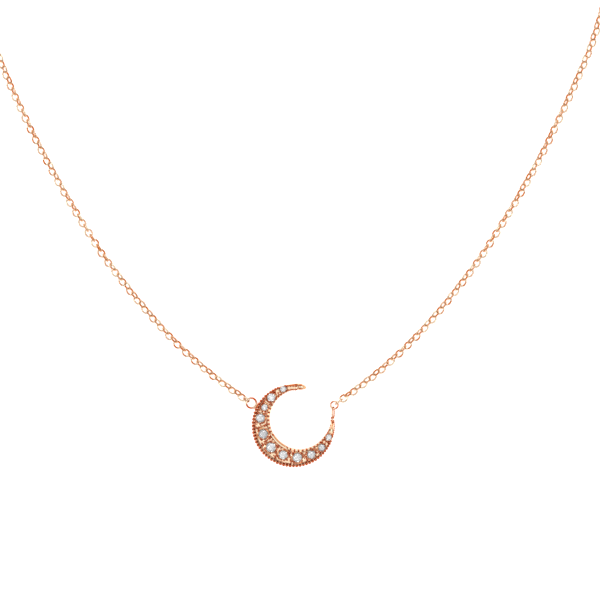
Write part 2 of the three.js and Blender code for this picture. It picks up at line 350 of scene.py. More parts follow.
def diamond():
    """A colourless brilliant: high index, clear, with a trace of haze. Its tone is painted
    reflection, from dark grey-blue to white, mostly by facet and partly by cloudy noise, as each
    facet would mirror another part of the room."""
    clear = Shading("brilliant", {"IOR": 2.417, "Transmission Weight": 1.0})
    clouds = clear.noise(2600.0, 3.0)
    # Painted reflection: the base colour runs from dark grey-blue to white, mostly by each facet's
    # tone and partly by the noise.
    share = clear.add("Mix", {"Factor": 0.7})
    clear.link(clouds, "Fac", share, "A")
    clear.link(clear.add("Attribute", attribute_name=PAINTED_FACET_REFLECTION), "Fac", share, "B")
    tint = clear.blend(share, "Result", (0.13, 0.155, 0.18), (1.0, 1.0, 1.0))
    clear.link(tint, "Result", clear.shader, "Base Color")
    haze = clear.remap(clouds, "Fac", FULL_RANGE, (0.0, 0.04))
    clear.link(haze, "Result", clear.shader, "Roughness")
    return clear.material


def spring_steel():
    """Fine drawn wire, brighter and duller by turns."""
    steel = Shading("spring_steel", {"Metallic": 1.0})
    drawn = steel.noise(6000.0, 4.0)
    colour = steel.blend(drawn, "Fac", (0.42, 0.43, 0.45), (0.66, 0.67, 0.69))
    steel.link(colour, "Result", steel.shader, "Base Color")
    rough = steel.remap(drawn, "Fac", FULL_RANGE, (0.2, 0.45))
    steel.link(rough, "Result", steel.shader, "Roughness")
    return steel.material


# Each gold's deep, close and deep_red, and the weight of its marks, set its painted shade.
GOLD = rose_gold(
    "rose_gold_cast", (0.74, 0.54, 0.35), (0.86, 0.70, 0.51), deep=0.38, close=0.6, marked_shade=1.0,
)
CHAIN_GOLD = rose_gold(
    "rose_gold_chain", (0.77, 0.64, 0.45), (0.86, 0.76, 0.59), deep=0.4, close=0.4, wavy=0.4,
    marked_shade=0.9, scratch=0.5, rough=0.16, deep_red=(0.58, 0.17, 0.03),
)
CLASP_GOLD = rose_gold(
    "rose_gold_polished", (0.74, 0.49, 0.29), (0.84, 0.62, 0.41), deep=0.2, close=0.7, wavy=0.3,
    scratch=1.6, rough=0.11,
)
STONE = diamond()
STEEL = spring_steel()

# ---- cords: the two chain sides

# The centre lines of the two sides, about the crescent's centre, from the pendant to the clasp.
LEFT_ROUTE = [
    (-7.06, 3.91), (-11.5, 7.2), (-15.7, 10.9), (-19.6, 15.0), (-23.2, 19.3), (-26.6, 23.8),
    (-29.6, 28.5), (-32.5, 33.4), (-35.2, 38.4), (-37.7, 43.4), (-40.0, 48.5), (-42.0, 53.7),
    (-43.6, 59.5), (-44.8, 66.0), (-45.4, 74.5), (-45.4, 84.5), (-44.7, 94.5), (-42.9, 103.0),
    (-39.6, 110.0), (-34.8, 115.4), (-28.8, 118.6), (-22.2, 119.2), (-16.0, 117.0), (-11.3, 112.2),
    (-8.5, 105.8), (-7.1, 98.5), (-6.6, 91.5), (-6.6, 84.0), (-6.6, 75.8),
]
RIGHT_ROUTE = [
    (6.43, 3.24), (11.3, 6.9), (15.5, 10.65), (19.4, 14.7), (23.0, 19.05), (26.35, 23.55),
    (29.4, 28.3), (32.3, 33.15), (35.0, 38.1), (37.45, 43.15), (39.8, 48.25), (42.0, 53.5),
    (43.7, 59.3), (44.8, 66.0), (45.3, 74.5), (45.3, 84.5), (44.6, 94.5), (42.8, 103.0),
    (39.5, 110.0), (34.7, 115.4), (28.7, 118.6), (22.1, 119.2), (15.9, 117.0), (11.2, 112.2),
    (8.4, 105.8), (7.0, 98.5), (6.5, 91.5), (6.5, 84.3), (6.5, 76.7),
]
LINK = {"half_length": 0.56, "half_width": 0.455, "wire": 0.12}  # half sizes to the wire's middle
SAG = 0.11  # how far a link that leans at 45 degrees slips to its high side
LINKS = 229  # on each side
AROUND, SIDES = 30, 9  # points round a link and round its wire
REACH = 0.3  # half the length over which the line's heading is taken
JOIN_AT, JOIN_WIDE, JOIN_SWELL = 1.9, 0.16, 0.10  # where in radians, how wide, how thick
SQUARENESS = 0.94  # below 1 a link is fuller than an ellipse
FLANK, FLANK_SOFT = 0.72, 0.16  # the long sides of a link, by the sine round it, which get painted shade
SWIVEL_ROOM = 0.06  # what each half of the left side's last link gains


def smooth_line(points, steps=24):
    """The centripetal Catmull-Rom line through the points."""
    p = np.asarray(points, float)
    p = np.vstack([2 * p[0] - p[1], p, 2 * p[-1] - p[-2]])
    line = []
    for i in range(1, len(p) - 2):
        a, b, c, d = p[i - 1 : i + 3]
        ab, bc, cd = (np.linalg.norm(v) ** 0.5 for v in (b - a, c - b, d - c))
        m1 = (b - a) / ab - (c - a) / (ab + bc) + (c - b) / bc
        m2 = (c - b) / bc - (d - b) / (bc + cd) + (d - c) / cd
        m1, m2 = m1 * bc, m2 * bc
        for t in np.linspace(0, 1, steps, endpoint=False):
            line.append(
                (2 * t**3 - 3 * t**2 + 1) * b
                + (t**3 - 2 * t**2 + t) * m1
                + (3 * t**2 - 2 * t**3) * c
                + (t**3 - t**2) * m2
            )
    line.append(p[-2])
    return np.array(line)


class Route:
    """A chain side's centre line, by distance from its first point."""

    def __init__(self, points):
        self.line = smooth_line(points) + SHIFT
        step = np.linalg.norm(np.diff(self.line, axis=0), axis=1)
        self.at = np.concatenate([[0], np.cumsum(step)])
        self.length = self.at[-1]

    def point(self, s):
        return np.array([np.interp(s, self.at, self.line[:, k]) for k in (0, 1)])

    def place(self, s):
        """Point and heading, straight on beyond either end."""
        inside = min(max(s, 0.0), self.length)
        on, back = min(inside + REACH, self.length), max(inside - REACH, 0.0)
        heading = unit(self.point(on) - self.point(back))
        return self.point(inside) + heading * (s - inside), heading


def link_wire(centre, heading, tilt, half_length, half_width, wire, around=AROUND, sides=SIDES):
    """One oval link: its long axis along heading, turned by tilt about it.

    The join shows as a slight swell."""
    turn = np.linspace(0, 2 * np.pi, around, endpoint=False)
    along = half_length * np.sign(np.cos(turn)) * np.abs(np.cos(turn)) ** SQUARENESS
    across = half_width * np.sign(np.sin(turn)) * np.abs(np.sin(turn)) ** SQUARENESS
    x = np.array([heading[0], heading[1], 0.0])
    level = np.array([-heading[1], heading[0], 0.0])
    y = level * math.cos(tilt) + np.array([0, 0, 1.0]) * math.sin(tilt)
    points = np.asarray(centre) + along[:, None] * x + across[:, None] * y
    swell = 1 + JOIN_SWELL * np.exp(-(((turn - JOIN_AT) / JOIN_WIDE) ** 2))
    return wire_loop(points, np.cross(x, y), wire * swell, sides)


def chain_side(name, route, first, last, twist, rng, room=0.0):
    """Links whose middles stand from distance first to last along route.

    twist gives a link's turn about the chain, in degrees; room is how much longer each half of
    the last link is, for what swivels in it."""
    parts = Parts()
    for i in range(LINKS):
        longer = room if i == LINKS - 1 else 0.0
        s = first + (last - first) * i / (LINKS - 1) + longer
        (x, y), heading = route.place(s)
        turn = math.radians(twist(s / route.length) + 90 * (i % 2) + rng.uniform(-5, 5))
        yaw = math.radians(rng.uniform(-2.5, 2.5))
        heading = np.array([
            heading[0] * math.cos(yaw) - heading[1] * math.sin(yaw),
            heading[0] * math.sin(yaw) + heading[1] * math.cos(yaw),
        ])
        widest = max(abs(math.sin(turn)), abs(math.cos(turn)))
        height = LINK["half_width"] * widest + LINK["wire"] * 1.1 + 0.005
        slip = SAG * math.sin(2 * turn)
        x, y = x - heading[1] * slip, y + heading[0] * slip
        half_length = LINK["half_length"] + longer
        parts.add(*link_wire(
            (x, y, height), heading, turn, half_length, LINK["half_width"], LINK["wire"],
        ))
    chain = parts.object(name, CHAIN_GOLD)
    # Painted shade: the long sides of each link are marked deep red by a random share, and on one
    # of them by a further random share.
    turn = np.linspace(0, 2 * np.pi, AROUND, endpoint=False)
    flanks = np.clip((np.abs(np.sin(turn)) - FLANK) / FLANK_SOFT, 0, 1)
    share = []
    for _ in range(LINKS):
        link = flanks * (0.35 + 0.65 * rng.random()) * np.where(np.sin(turn) > 0, rng.random(), 1)
        share.append(np.repeat(link, SIDES))
    mark(chain, PAINTED_RED_SHADE, "POINT", np.concatenate(share))
    return chain


def swing(share, phase):
    """How the twist of a chain that lies loose wanders along its length, in degrees."""
    ends = min(share / 0.02, 1) * min((1 - share) / 0.03, 1)
    slow = math.sin(2 * math.pi * (share * 3.7 + phase))
    quick = math.sin(2 * math.pi * (share * 9.5 + 2 * phase))
    return (9 * quick + 6 * slow) * ends


def left_twist(share):
    """From 27 degrees at the pendant to upright, 90 degrees, at the clasp."""
    return 27 + 63 * share**6 + swing(share, 0.1)


def right_twist(share):
    """From upright at the pendant, soon to 63 degrees, to flat at the end link."""
    return 63 + 27 * max(0, 1 - share / 0.02) - 63 * share**6 - swing(share, 0.1)


LEFT, RIGHT = Route(LEFT_ROUTE), Route(RIGHT_ROUTE)
left_chain = chain_side(
    "chain_left", LEFT, 0.085, LEFT.length + 0.155, left_twist, random.Random(11), SWIVEL_ROOM,
)
right_chain = chain_side(
    "chain_right", RIGHT, 0.069, RIGHT.length + 0.005, right_twist, random.Random(12),
)


def declare_chain(obj, route, body, node):
    """Hangs obj on body and hides the node it stands in for; its points along route go unused."""
    points = [(x * MM, y * MM, LIE * MM) for x, y in route.line[::2]]
    if tuple(route.line[-1]) != tuple(route.line[::2][-1]):
        points.append((*(route.line[-1] * MM), LIE * MM))
    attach(obj, body)
    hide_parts(node)


# ---- the crescent

CRESCENT = {
    "outer": 5.88,
    "inner": 4.15,
    "shift": 1.243,
    "shift_angle": 40.6,
    "free_end": 71.0,
    "eye_end": 367.0,
    "girdle": 1.36,
}
# Round brilliants along the band: angle about the outer centre, girdle diameter, shift outwards.
STONES = [
    (105.0, 0.85, 0.05), (127.9, 1.13, -0.02), (148.1, 0.85, -0.05), (167.8, 1.22, 0.1),
    (196.7, 1.27, -0.08), (225.5, 1.34, 0.0), (251.9, 1.2, -0.05), (277.9, 1.27, 0.0),
    (302.1, 1.13, 0.06), (322.1, 0.96, 0.11), (341.1, 0.85, 0.08),
]
ROWS, TOP_COLUMNS, BACK_COLUMNS = 760, 56, 8  # points along the band, across its face and back
FREE_TAPER, EYE_TAPER = 14, 26  # degrees over which the band narrows to its two ends
HORN_SPREAD = 0.05  # how far the free horn's round end swells past the plain outline
WALL_SET = 0.05  # how far out from the beads' line the walls stand
BEAD_INSET, BEAD_SWING, BEAD_DEEPEST = 0.155, 0.105, 150  # from the edge; most at this angle
POLISHED = (205, 254)  # from angle to angle, the inner rim is a polished double line
LEDGE, RIM, FIELD, COLLAR, GROOVE = 1.20, 0.26, 0.18, 0.11, 0.04  # heights on the face
LINE_DEPTH, SCORE = 0.09, 0.07  # of the line in the polished rim, of the scored lines between stones
HORN_PIT = (84, 98)  # from angle to angle, the free horn is sunk for its grains
HORN_PIT_DEPTH = 0.05
HORN_END = {"angle": 76.6, "radius": 5.5, "from": 83.2, "floor": 1.24, "dome": 0.26, "lip": 0.14}
NECK_TOP, NECK_GROOVE = 1.44, 0.16  # where the band narrows towards the eye


def inner_circle(angle):
    """How far the inner circle lies from the outer one's centre."""
    off = math.radians(angle - CRESCENT["shift_angle"])
    across = CRESCENT["shift"] * math.sin(off)
    return CRESCENT["shift"] * math.cos(off) + math.sqrt(CRESCENT["inner"] ** 2 - across**2)


def band_edges(angle):
    """Inner and outer edge of the band in a direction, as the solid has them."""
    width = CRESCENT["outer"] - inner_circle(angle)
    from_free = min((angle - CRESCENT["free_end"]) / FREE_TAPER, 1)
    from_eye = min((CRESCENT["eye_end"] - angle) / EYE_TAPER, 1)
    point = math.sqrt(max(1 - (1 - from_free) ** 2, 0))
    outer = CRESCENT["outer"] - 0.45 * width * (1 - point)
    wide = width * (0.1 + 0.9 * point) * (0.7 + 0.3 * from_eye)
    return outer - wide, outer


def bead_line(angle):
    """Where the outer beads stand: at the lower right they overhang the wall most."""
    swing_in = BEAD_SWING * math.cos(math.radians(angle - BEAD_DEEPEST))
    return band_edges(angle)[1] - BEAD_INSET - swing_in


def beaded(angle):
    """0 on the free horn's smooth end, 1 from where its beads begin."""
    return max(0.0, min(1.0, (angle - 80) / 12))


def wall_radius(angle):
    """The outer wall, a little inside the beads' reach so that they show as a scalloped edge."""
    smooth, beads = band_edges(angle)[1] + HORN_SPREAD, bead_line(angle) + WALL_SET
    return smooth * (1 - beaded(angle)) + beads * beaded(angle)


def inner_radius(angle):
    """The inner wall, which likewise lies a little behind its beads."""
    beads = WALL_SET * beaded(angle) * (1 - polished_rim(angle))
    return band_edges(angle)[0] - HORN_SPREAD * (1 - beaded(angle)) + beads


def stone_places():
    """Angle, girdle diameter and middle of each brilliant."""
    for angle, diameter, shift in STONES:
        inner, outer = band_edges(angle)
        x, y = polar((inner + outer) / 2 + shift, angle, SHIFT)
        yield angle, diameter, np.array([x, y])


def step(x, at, soft=0.018):
    """0 below at, 1 above it, with a soft change between them."""
    return 1 / (1 + math.exp(-max(-60.0, min(60.0, (x - at) / soft))))


def hump(x, at, wide):
    """1 at at, falling to 0 on both sides."""
    return math.exp(-(((x - at) / wide) ** 2))


def polished_rim(angle):
    """1 where the inner rim is a plain polished double line instead of beads."""
    return step(angle, POLISHED[0], 1.5) * (1 - step(angle, POLISHED[1], 1.5))


def horn_end(angle, across):
    """Height of the free horn's smooth oval end in its groove."""
    along = math.radians(angle - HORN_END["angle"]) * HORN_END["radius"]
    q = math.hypot(along / 0.58, across / 0.25)  # 1 on the oval's edge
    dome = HORN_END["dome"] * math.sqrt(max(1 - q * q, 0))
    return HORN_END["floor"] + dome + HORN_END["lip"] * step(q, 1.28, 0.05)


def top_height(point, angle, from_outer, from_inner, width):
    """Height of the crescent's face: bead ledges, bright rims, sunk field, collars and scored
    lines.
    """
    narrow = min(1.0, width / 2.3)
    outer, inner = from_outer / narrow, from_inner / narrow
    plain = polished_rim(angle)
    z = LEDGE + RIM * step(outer, 0.28) * step(inner, 0.37 * (1 - plain) - 0.2 * plain)
    z -= plain * LINE_DEPTH * hump(inner, 0.16, 0.045)
    field = step(outer, 0.41) * step(inner, 0.48)
    z -= FIELD * field
    for _, diameter, centre in STONE_LIST:
        far = math.hypot(*(point - centre)) - diameter / 2
        if far < 0.5:
            z += COLLAR * hump(far, 0.05, 0.07) * max(field, 0.4)
            z -= GROOVE * hump(far, 0.20, 0.05) * field
    for cut_angle in CUTS:
        along = math.radians(angle - cut_angle) * (CRESCENT["outer"] - from_outer)
        off = along - 0.22 * math.sin(from_outer * 2.4)
        if abs(off) < 0.4:
            z += SCORE * hump(off, 0.1, 0.05) * field - SCORE * hump(off, 0.0, 0.05) * field
    if angle < HORN_PIT[1] + 1:
        pit = HORN_PIT_DEPTH * step(angle, HORN_PIT[0], 0.3) * (1 - step(angle, HORN_PIT[1], 0.5))
        z -= pit * step(outer, 0.34) * step(inner, 0.30)
        share = step(angle, HORN_END["from"], 0.25)
        z = z * share + horn_end(angle, (from_inner - from_outer) / 2) * (1 - share)
    if angle > 347:
        middle = abs(from_inner - from_outer) / max(width, 0.1)
        z = z + (NECK_TOP - NECK_GROOVE * hump(middle, 0, 0.28) - z) * step(angle, 352, 1.2)
    return z


STONE_LIST = list(stone_places())
CUTS = [(a + b) / 2 for (a, *_), (b, *_) in zip(STONES, STONES[1:])]


def end_slope(angle):
    """How much of its height the band keeps towards the two horns' ends."""
    free = max(0.0, 1 - (angle - CRESCENT["free_end"] + 0.5) / 4.5)
    eye = max(0.0, 1 - (CRESCENT["eye_end"] - angle) / 5)
    return 1 - 0.45 * free**2 - 0.3 * eye**2


def crescent_body():
    """The casting, before its seats are cut: outer wall, face, inner wall and back, row by row."""
    verts = []
    for angle in np.linspace(CRESCENT["free_end"] - 0.5, CRESCENT["eye_end"], ROWS):
        inner, outer = inner_radius(angle), wall_radius(angle)
        width = outer - inner
        soft = min(0.06, width * 0.12)
        ring = [
            (outer - soft, 0.0), (outer - soft * 0.3, 0.02), (outer, 0.09), (outer, 0.5),
            (outer, 0.9), (outer - soft * 0.3, 1.12), (outer - soft * 0.9, 1.22),
        ]
        face_outer, face_inner = outer - soft * 1.2, inner + soft * 0.8
        for t in np.linspace(0, 1, TOP_COLUMNS):
            r = face_outer + (face_inner - face_outer) * t
            point = polar(r, angle, SHIFT)
            ring.append((r, top_height(point, angle, outer - r, r - inner, width)))
        ring += [(inner + soft * 0.2, 1.18), (inner, 0.95), (inner, 0.5), (inner, 0.09)]
        ring.append((inner + soft * 0.3, 0.02))
        for t in np.linspace(0, 1, BACK_COLUMNS + 1)[:-1]:
            ring.append((inner + soft + (width - 2 * soft) * t, 0.0))
        low = end_slope(angle)
        verts.extend((*polar(r, angle, SHIFT), z * low) for r, z in ring)
    columns = len(verts) // ROWS
    faces = [tuple(reversed(f)) for f in grid_faces(ROWS, columns, False, True)]
    return make_object("crescent_detail", verts, faces + end_caps(ROWS, columns), GOLD)


def seat_cutter():
    """One turned plug for each stone: its seat above, the light hole through the back below."""
    parts = Parts()
    sides = 40
    for _, diameter, (x, y) in STONE_LIST:
        r, azure, g = diameter / 2, 0.3 * diameter, CRESCENT["girdle"]
        profile = [
            (azure * 1.25, -0.2), (azure * 1.2, 0.0), (azure, 0.2),
            (azure, g - (r - azure) * 0.86 - 0.06), (r + 0.02, g - 0.03), (r + 0.02, g + 0.012),
            (r - 0.012, g + 0.03), (r, 1.7),
        ]
        verts = [
            (x + q * math.cos(a), y + q * math.sin(a), z)
            for q, z in profile
            for a in np.linspace(0, 2 * math.pi, sides, endpoint=False)
        ]
        faces = grid_faces(len(profile), sides, False, True)
        parts.add(verts, faces + end_caps(len(profile), sides, reverse=True))
    return parts.object("seat_cutter", GOLD)


def cut(obj, cutter):
    """Takes cutter's shape out of obj, and cutter out of the scene."""
    face_out(obj)
    face_out(cutter)
    modifier = obj.modifiers.new("cut", "BOOLEAN")
    modifier.operation = "DIFFERENCE"
    modifier.solver = "EXACT"
    modifier.object = cutter
    graph = bpy.context.evaluated_depsgraph_get()
    mesh = bpy.data.meshes.new_from_object(obj.evaluated_get(graph))
    obj.modifiers.clear()
    obj.data = mesh
    bpy.data.objects.remove(cutter)


def on_pendant(obj):
    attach(obj, "pendant")
    return obj


crescent = crescent_body()
cut(crescent, seat_cutter())
soften(crescent, 38)
on_pendant(crescent)
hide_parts("crescent")


def clear_of_stones(x, y, room):
    """Whether a point keeps room from every stone's edge."""
    return all(math.hypot(x - cx, y - cy) > d / 2 + room for _, d, (cx, cy) in STONE_LIST)


def seat_height(x, y, radius, angle, bead):
    """Height of a bead's centre so that it sits in the face below it."""
    inner, outer = inner_radius(angle), wall_radius(angle)
    from_outer, from_inner = max(outer - radius, 0.0), max(radius - inner, 0.0)
    face = top_height(np.array([x, y]), angle, from_outer, from_inner, outer - inner)
    return face * end_slope(angle) + 0.34 * bead


BEAD = (0.95, 9, 14)  # how flat a bead is, and how finely it is divided


def bead_row(name, start, stop, line, size, pitch, skip=(), height=None):
    """Milgrain: round beads one behind the other along a rim, from angle start to angle stop.

    line and size give a bead's radius about the centre and its width for an angle; pitch is
    from bead to bead, in widths; skip holds the stretches that stay bare."""
    parts = Parts()
    rng = random.Random(21)
    angle = start
    while angle < stop:
        radius = line(angle)
        bead = size(angle)
        x, y = polar(radius + rng.uniform(-0.012, 0.012), angle, SHIFT)
        free = not any(a < angle < b for a, b in skip)
        if free and clear_of_stones(x, y, bead * 0.36):
            z = height or seat_height(x, y, radius, angle, bead)
            parts.add(*ball((x, y, z), bead / 2 * rng.uniform(0.95, 1.05), *BEAD))
        angle += math.degrees(bead * pitch / radius)
    # The beads get painted shade, deep red.
    return on_pendant(deepen(parts.object(name, GOLD), 0.63))


def taper(angle):
    """1 on the wide part of the band, falling towards both horns."""
    inner, outer = band_edges(angle)
    return min(1.0, 0.3 + 0.7 * (outer - inner) / 2.0)


bead_row("milgrain_outer", 101, 366, bead_line, lambda a: 0.37 * taper(a), 1.27)
bead_row(
    "milgrain_inner", 101, 362,
    lambda a: band_edges(a)[0] + 0.20 * taper(a), lambda a: 0.27 * taper(a), 2.0,
    skip=((POLISHED[0] + 1, POLISHED[1] - 1),),
)
bead_row(
    "milgrain_second", 118, 184, lambda a: bead_line(a) - 0.33, lambda a: 0.22, 1.45, height=1.42,
)


HIGH_GRAIN, MIDDLE_GRAIN, FIELD_GRAIN = 1.43, 1.38, 1.30  # heights of the grains' middles
NECK_GRAINS = ((5.45, 1.0, 0.60, 0.14), (5.40, 0.62, 1.02, 0.13), (5.62, 0.42, 1.30, 0.12))


def grain_beads():
    """Grains that hold the stones, fill the gaps between them, and finish both horns."""
    parts = Parts()
    for k, (angle, diameter, centre) in enumerate(STONE_LIST):
        for side in (-1, 1):
            for out in (-1, 1):
                direction = angle + 90 * side - out * side * (34 + 9 * (k % 3))
                x, y = polar(diameter / 2 + 0.085, direction, centre)
                parts.add(*ball((x, y, HIGH_GRAIN), 0.095 + 0.03 * (diameter > 1), *BEAD))
    for a, b in zip(STONE_LIST, STONE_LIST[1:]):
        middle = (a[0] + b[0]) / 2
        inner, outer = band_edges(middle)
        spare = (outer - inner) / 2.6
        between = (
            (inner + 0.66 * spare, 0.13), (outer - 0.72 * spare, 0.14), ((inner + outer) / 2, 0.1),
        )
        for r, size in between:
            x, y = polar(r, middle + (2.0 if r > 5 else -1.5), SHIFT)
            if clear_of_stones(x, y, 0.09):
                parts.add(*ball((x, y, MIDDLE_GRAIN), size, *BEAD))
    rng = random.Random(5)
    for row, at in enumerate(np.arange(114, 332, 4.6)):
        inner, outer = band_edges(at)
        for r in np.arange(inner + 0.62 + 0.21 * (row % 2), bead_line(at) - 0.34, 0.42):
            x, y = polar(r + rng.uniform(-0.07, 0.07), at + rng.uniform(-0.8, 0.8), SHIFT)
            if clear_of_stones(x, y, 0.17) and rng.random() < 0.85:
                parts.add(*ball((x, y, FIELD_GRAIN), rng.uniform(0.10, 0.14)))
    for angle in (97.8, 93.6, 89.4, 85.6):
        for r, size in ((5.5, 0.15), (5.0, 0.13)):
            x, y = polar(r, angle, SHIFT)
            if clear_of_stones(x, y, 0.03):
                parts.add(*ball((x, y, HIGH_GRAIN), size, *BEAD))
    for x, y, z, size in NECK_GRAINS:
        parts.add(*ball((x + SHIFT[0], y, z), size, 1.0, *BEAD[1:]))
    # The grains get painted shade, deep red.
    return on_pendant(deepen(parts.object("grain_beads", GOLD), 0.55))


grain_beads()

# ---- brilliants


def brilliant(diameter):
    """A round brilliant: 57 facets and a thin girdle, with its girdle at z = 0."""
    r = diameter / 2
    crown, pavilion, girdle = 0.15 * diameter, 0.43 * diameter, 0.015 * diameter
    table, star_ring, low_ring = 0.56, 0.75, 0.25  # in radii
    half = 22.5  # half a main facet, in degrees
    verts, faces = [], []

    def ring(count, radius, z, offset=0.0):
        first = len(verts)
        for k in range(count):
            a = math.radians(360 * k / count + offset)
            verts.append((r * radius * math.cos(a), r * radius * math.sin(a), z))
        return [first + k for k in range(count)]

    projected = star_ring * math.cos(math.radians(half))
    star = girdle + crown * (1 - (projected - table) / (1 - table))
    main = -girdle - pavilion * (1 - low_ring * math.cos(math.radians(half)))
    top = ring(8, table, girdle + crown)
    mid = ring(8, star_ring, star, half)
    over = ring(16, 1.0, girdle)
    under = ring(16, 1.0, -girdle)
    low = ring(8, low_ring, main, half)
    culet = len(verts)
    verts.append((0, 0, -girdle - pavilion))
    faces.append(tuple(top))
    for k in range(8):
        n, p = (k + 1) % 8, (k - 1) % 8
        a, b, c = over[2 * k], over[2 * k + 1], over[(2 * k + 2) % 16]
        faces += [
            (top[k], mid[k], top[n]), (top[k], mid[p], a, mid[k]), (mid[k], a, b), (mid[k], b, c),
        ]
        a, b, c = under[2 * k], under[2 * k + 1], under[(2 * k + 2) % 16]
        faces += [(culet, low[k], a, low[p]), (low[k], b, a), (low[k], c, b)]
    for k in range(16):
        n = (k + 1) % 16
        faces.append((over[k], under[k], under[n], over[n]))
    return np.array(verts), faces


for k, (angle, diameter, (x, y)) in enumerate(STONE_LIST):
    verts, faces = brilliant(diameter)
    c, s = math.cos(math.radians(angle * 1.7)), math.sin(math.radians(angle * 1.7))
    turned = verts @ np.array([[c, s, 0], [-s, c, 0], [0, 0, 1]]) + [x, y, CRESCENT["girdle"]]
    stone = make_object(f"brilliant_{k + 1:02d}", turned, faces, STONE, smooth=False)
    face_out(stone)
    # Each facet gets a random tone of painted reflection.
    tones = np.random.default_rng(40 + k).random(len(stone.data.polygons))
    mark(stone, PAINTED_FACET_REFLECTION, "FACE", tones**0.6)
    on_pendant(stone)
    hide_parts(f"stone_{k + 1:02d}")

# ---- rings beside the crescent


def flat_ring(name, centre, radius, wire, body, node, material=GOLD, join=200, around=72):
    """A flat ring of round wire with a soldered join at the angle join."""
    turn = np.linspace(0, 2 * np.pi, around, endpoint=False)
    x, y = centre[0] + radius * np.cos(turn), centre[1] + radius * np.sin(turn)
    points = np.stack([x, y, turn * 0 + LIE], 1)
    off = (turn - math.radians(join) + np.pi) % (2 * np.pi) - np.pi
    swell = 1 + 0.07 * np.exp(-((off / 0.12) ** 2)) - 0.05 * np.exp(-(((off - 0.2) / 0.05) ** 2))
    obj = make_object(name, *wire_loop(points, (0, 0, 1), wire * swell, 14), material)
    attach(obj, body)
    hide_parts(node)
    return obj


def deepen_arcs(obj, centre, first, share):
    """Painted reflection: two opposite arcs of a ring, one at the angle first, are marked deep red,
    as where they mirror more metal.
    """
    spots = np.empty(len(obj.data.vertices) * 3, np.float32)
    obj.data.vertices.foreach_get("co", spots)
    x, y = spots[0::3] / MM - centre[0], spots[1::3] / MM - centre[1]
    facing = np.cos(np.arctan2(y, x) - math.radians(first)) ** 2
    mark(obj, PAINTED_RED_SHADE, "POINT", share * facing)


LEFT_RING = np.array([-5.837, 3.085]) + SHIFT
RIGHT_RING = np.array([5.84, 2.8]) + SHIFT
ring_left = flat_ring("ring_left", LEFT_RING, 0.7, 0.13, "pendant", "left_ring", join=330)
deepen_arcs(ring_left, LEFT_RING, 55, 0.75)
ring_right = flat_ring("ring_right", RIGHT_RING, 0.52, 0.115, "right_ring", "right_ring")
deepen_arcs(ring_right, RIGHT_RING, 140, 0.6)


def oval_link(
    name, centre, heading, tilt, half_length, half_width, wire, body, node, material=GOLD,
):
    """A single link beside the crescent; heading and tilt in degrees."""
    verts, faces = link_wire(
        (*centre, LIE), polar(1, heading), math.radians(tilt),
        half_length, half_width, wire, 48, 14,
    )
    obj = make_object(name, verts, faces, material)
    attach(obj, body)
    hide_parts(node)
    return obj


oval_link(
    "end_link_left", polar(0.85, 146, LEFT_RING), 146, -45,
    0.42, 0.33, 0.11, "left_link", "left_end_link", CHAIN_GOLD,
)
horn_eye = oval_link(
    "horn_eye_loop", np.array([5.68, 1.735]) + SHIFT, 90, 60,
    0.78, 0.28, 0.1, "pendant", "horn_eye",
)
# The eye loop gets a little painted shade, deep red.
deepen(horn_eye, 0.3)


def solder_joints():
    """Solder that runs the left ring into the crescent's wall, and the eye into the right horn."""
    parts = Parts()
    for angle, size in ((-20, 0.19), (-38, 0.19), (-55, 0.15)):
        x, y = polar(0.82, angle, LEFT_RING)
        parts.add(*ball((x, y, LIE), size, 1.15))
    neck = []
    for t in np.linspace(0, 1, 9):
        angle = 364 + 6 * t
        inner, outer = band_edges(min(angle, 366.9))
        x, y = polar((inner + outer) / 2, angle, SHIFT)
        neck.append((x, y + 0.1 * t, 0.75 - 0.19 * t))
    parts.add(*wire_open(neck, np.linspace(0.17, 0.12, 9), 14))
    return on_pendant(parts.object("solder_joints", GOLD))


solder_joints()

# ---- clasp

CLASP_LINE = np.array([-6.6, 75.8]) + SHIFT  # the left side's last point; it runs on towards -Y
END_LINE = np.array([6.5, 76.7]) + SHIFT
CLASP_AT = CLASP_LINE + [0, -5.57]
CLASP = {"radius": 2.05, "tube": 0.45, "bore": 0.28}
TURN = -90.0  # the clasp's own zero direction points away from its eye, towards -Y
TUBE_ARC = (27.5, 332.5)  # the tube, and between its ends the mouth
SLOT_ARC = (53, 126)  # the slot that the lever runs in
SLOT_HALF = 3  # of the tube's columns, to each side of the slot's middle
BOLT_ARC, BOLT_RADIUS = (-33.5, 102.5), 0.23
LEVER_AT = 60.5
COIL_ARC = (105, 187)  # the spring, from the bolt's end to its stop
COIL_RADIUS, COIL_WIRE, COIL_TURNS, COIL_SIDES = 0.19, 0.042, 8, 8


def arc_point(radius, angle, z=0.0):
    """A point about the clasp's middle; z is above its plane."""
    x, y = polar(radius, angle + TURN, CLASP_AT)
    return np.array([x, y, LIE + z])


def tube_point(arc, round_it, q):
    """A point at distance q from the clasp tube's middle line."""
    out = CLASP["radius"] + q * math.cos(round_it)
    return arc_point(out, arc, q * math.sin(round_it))


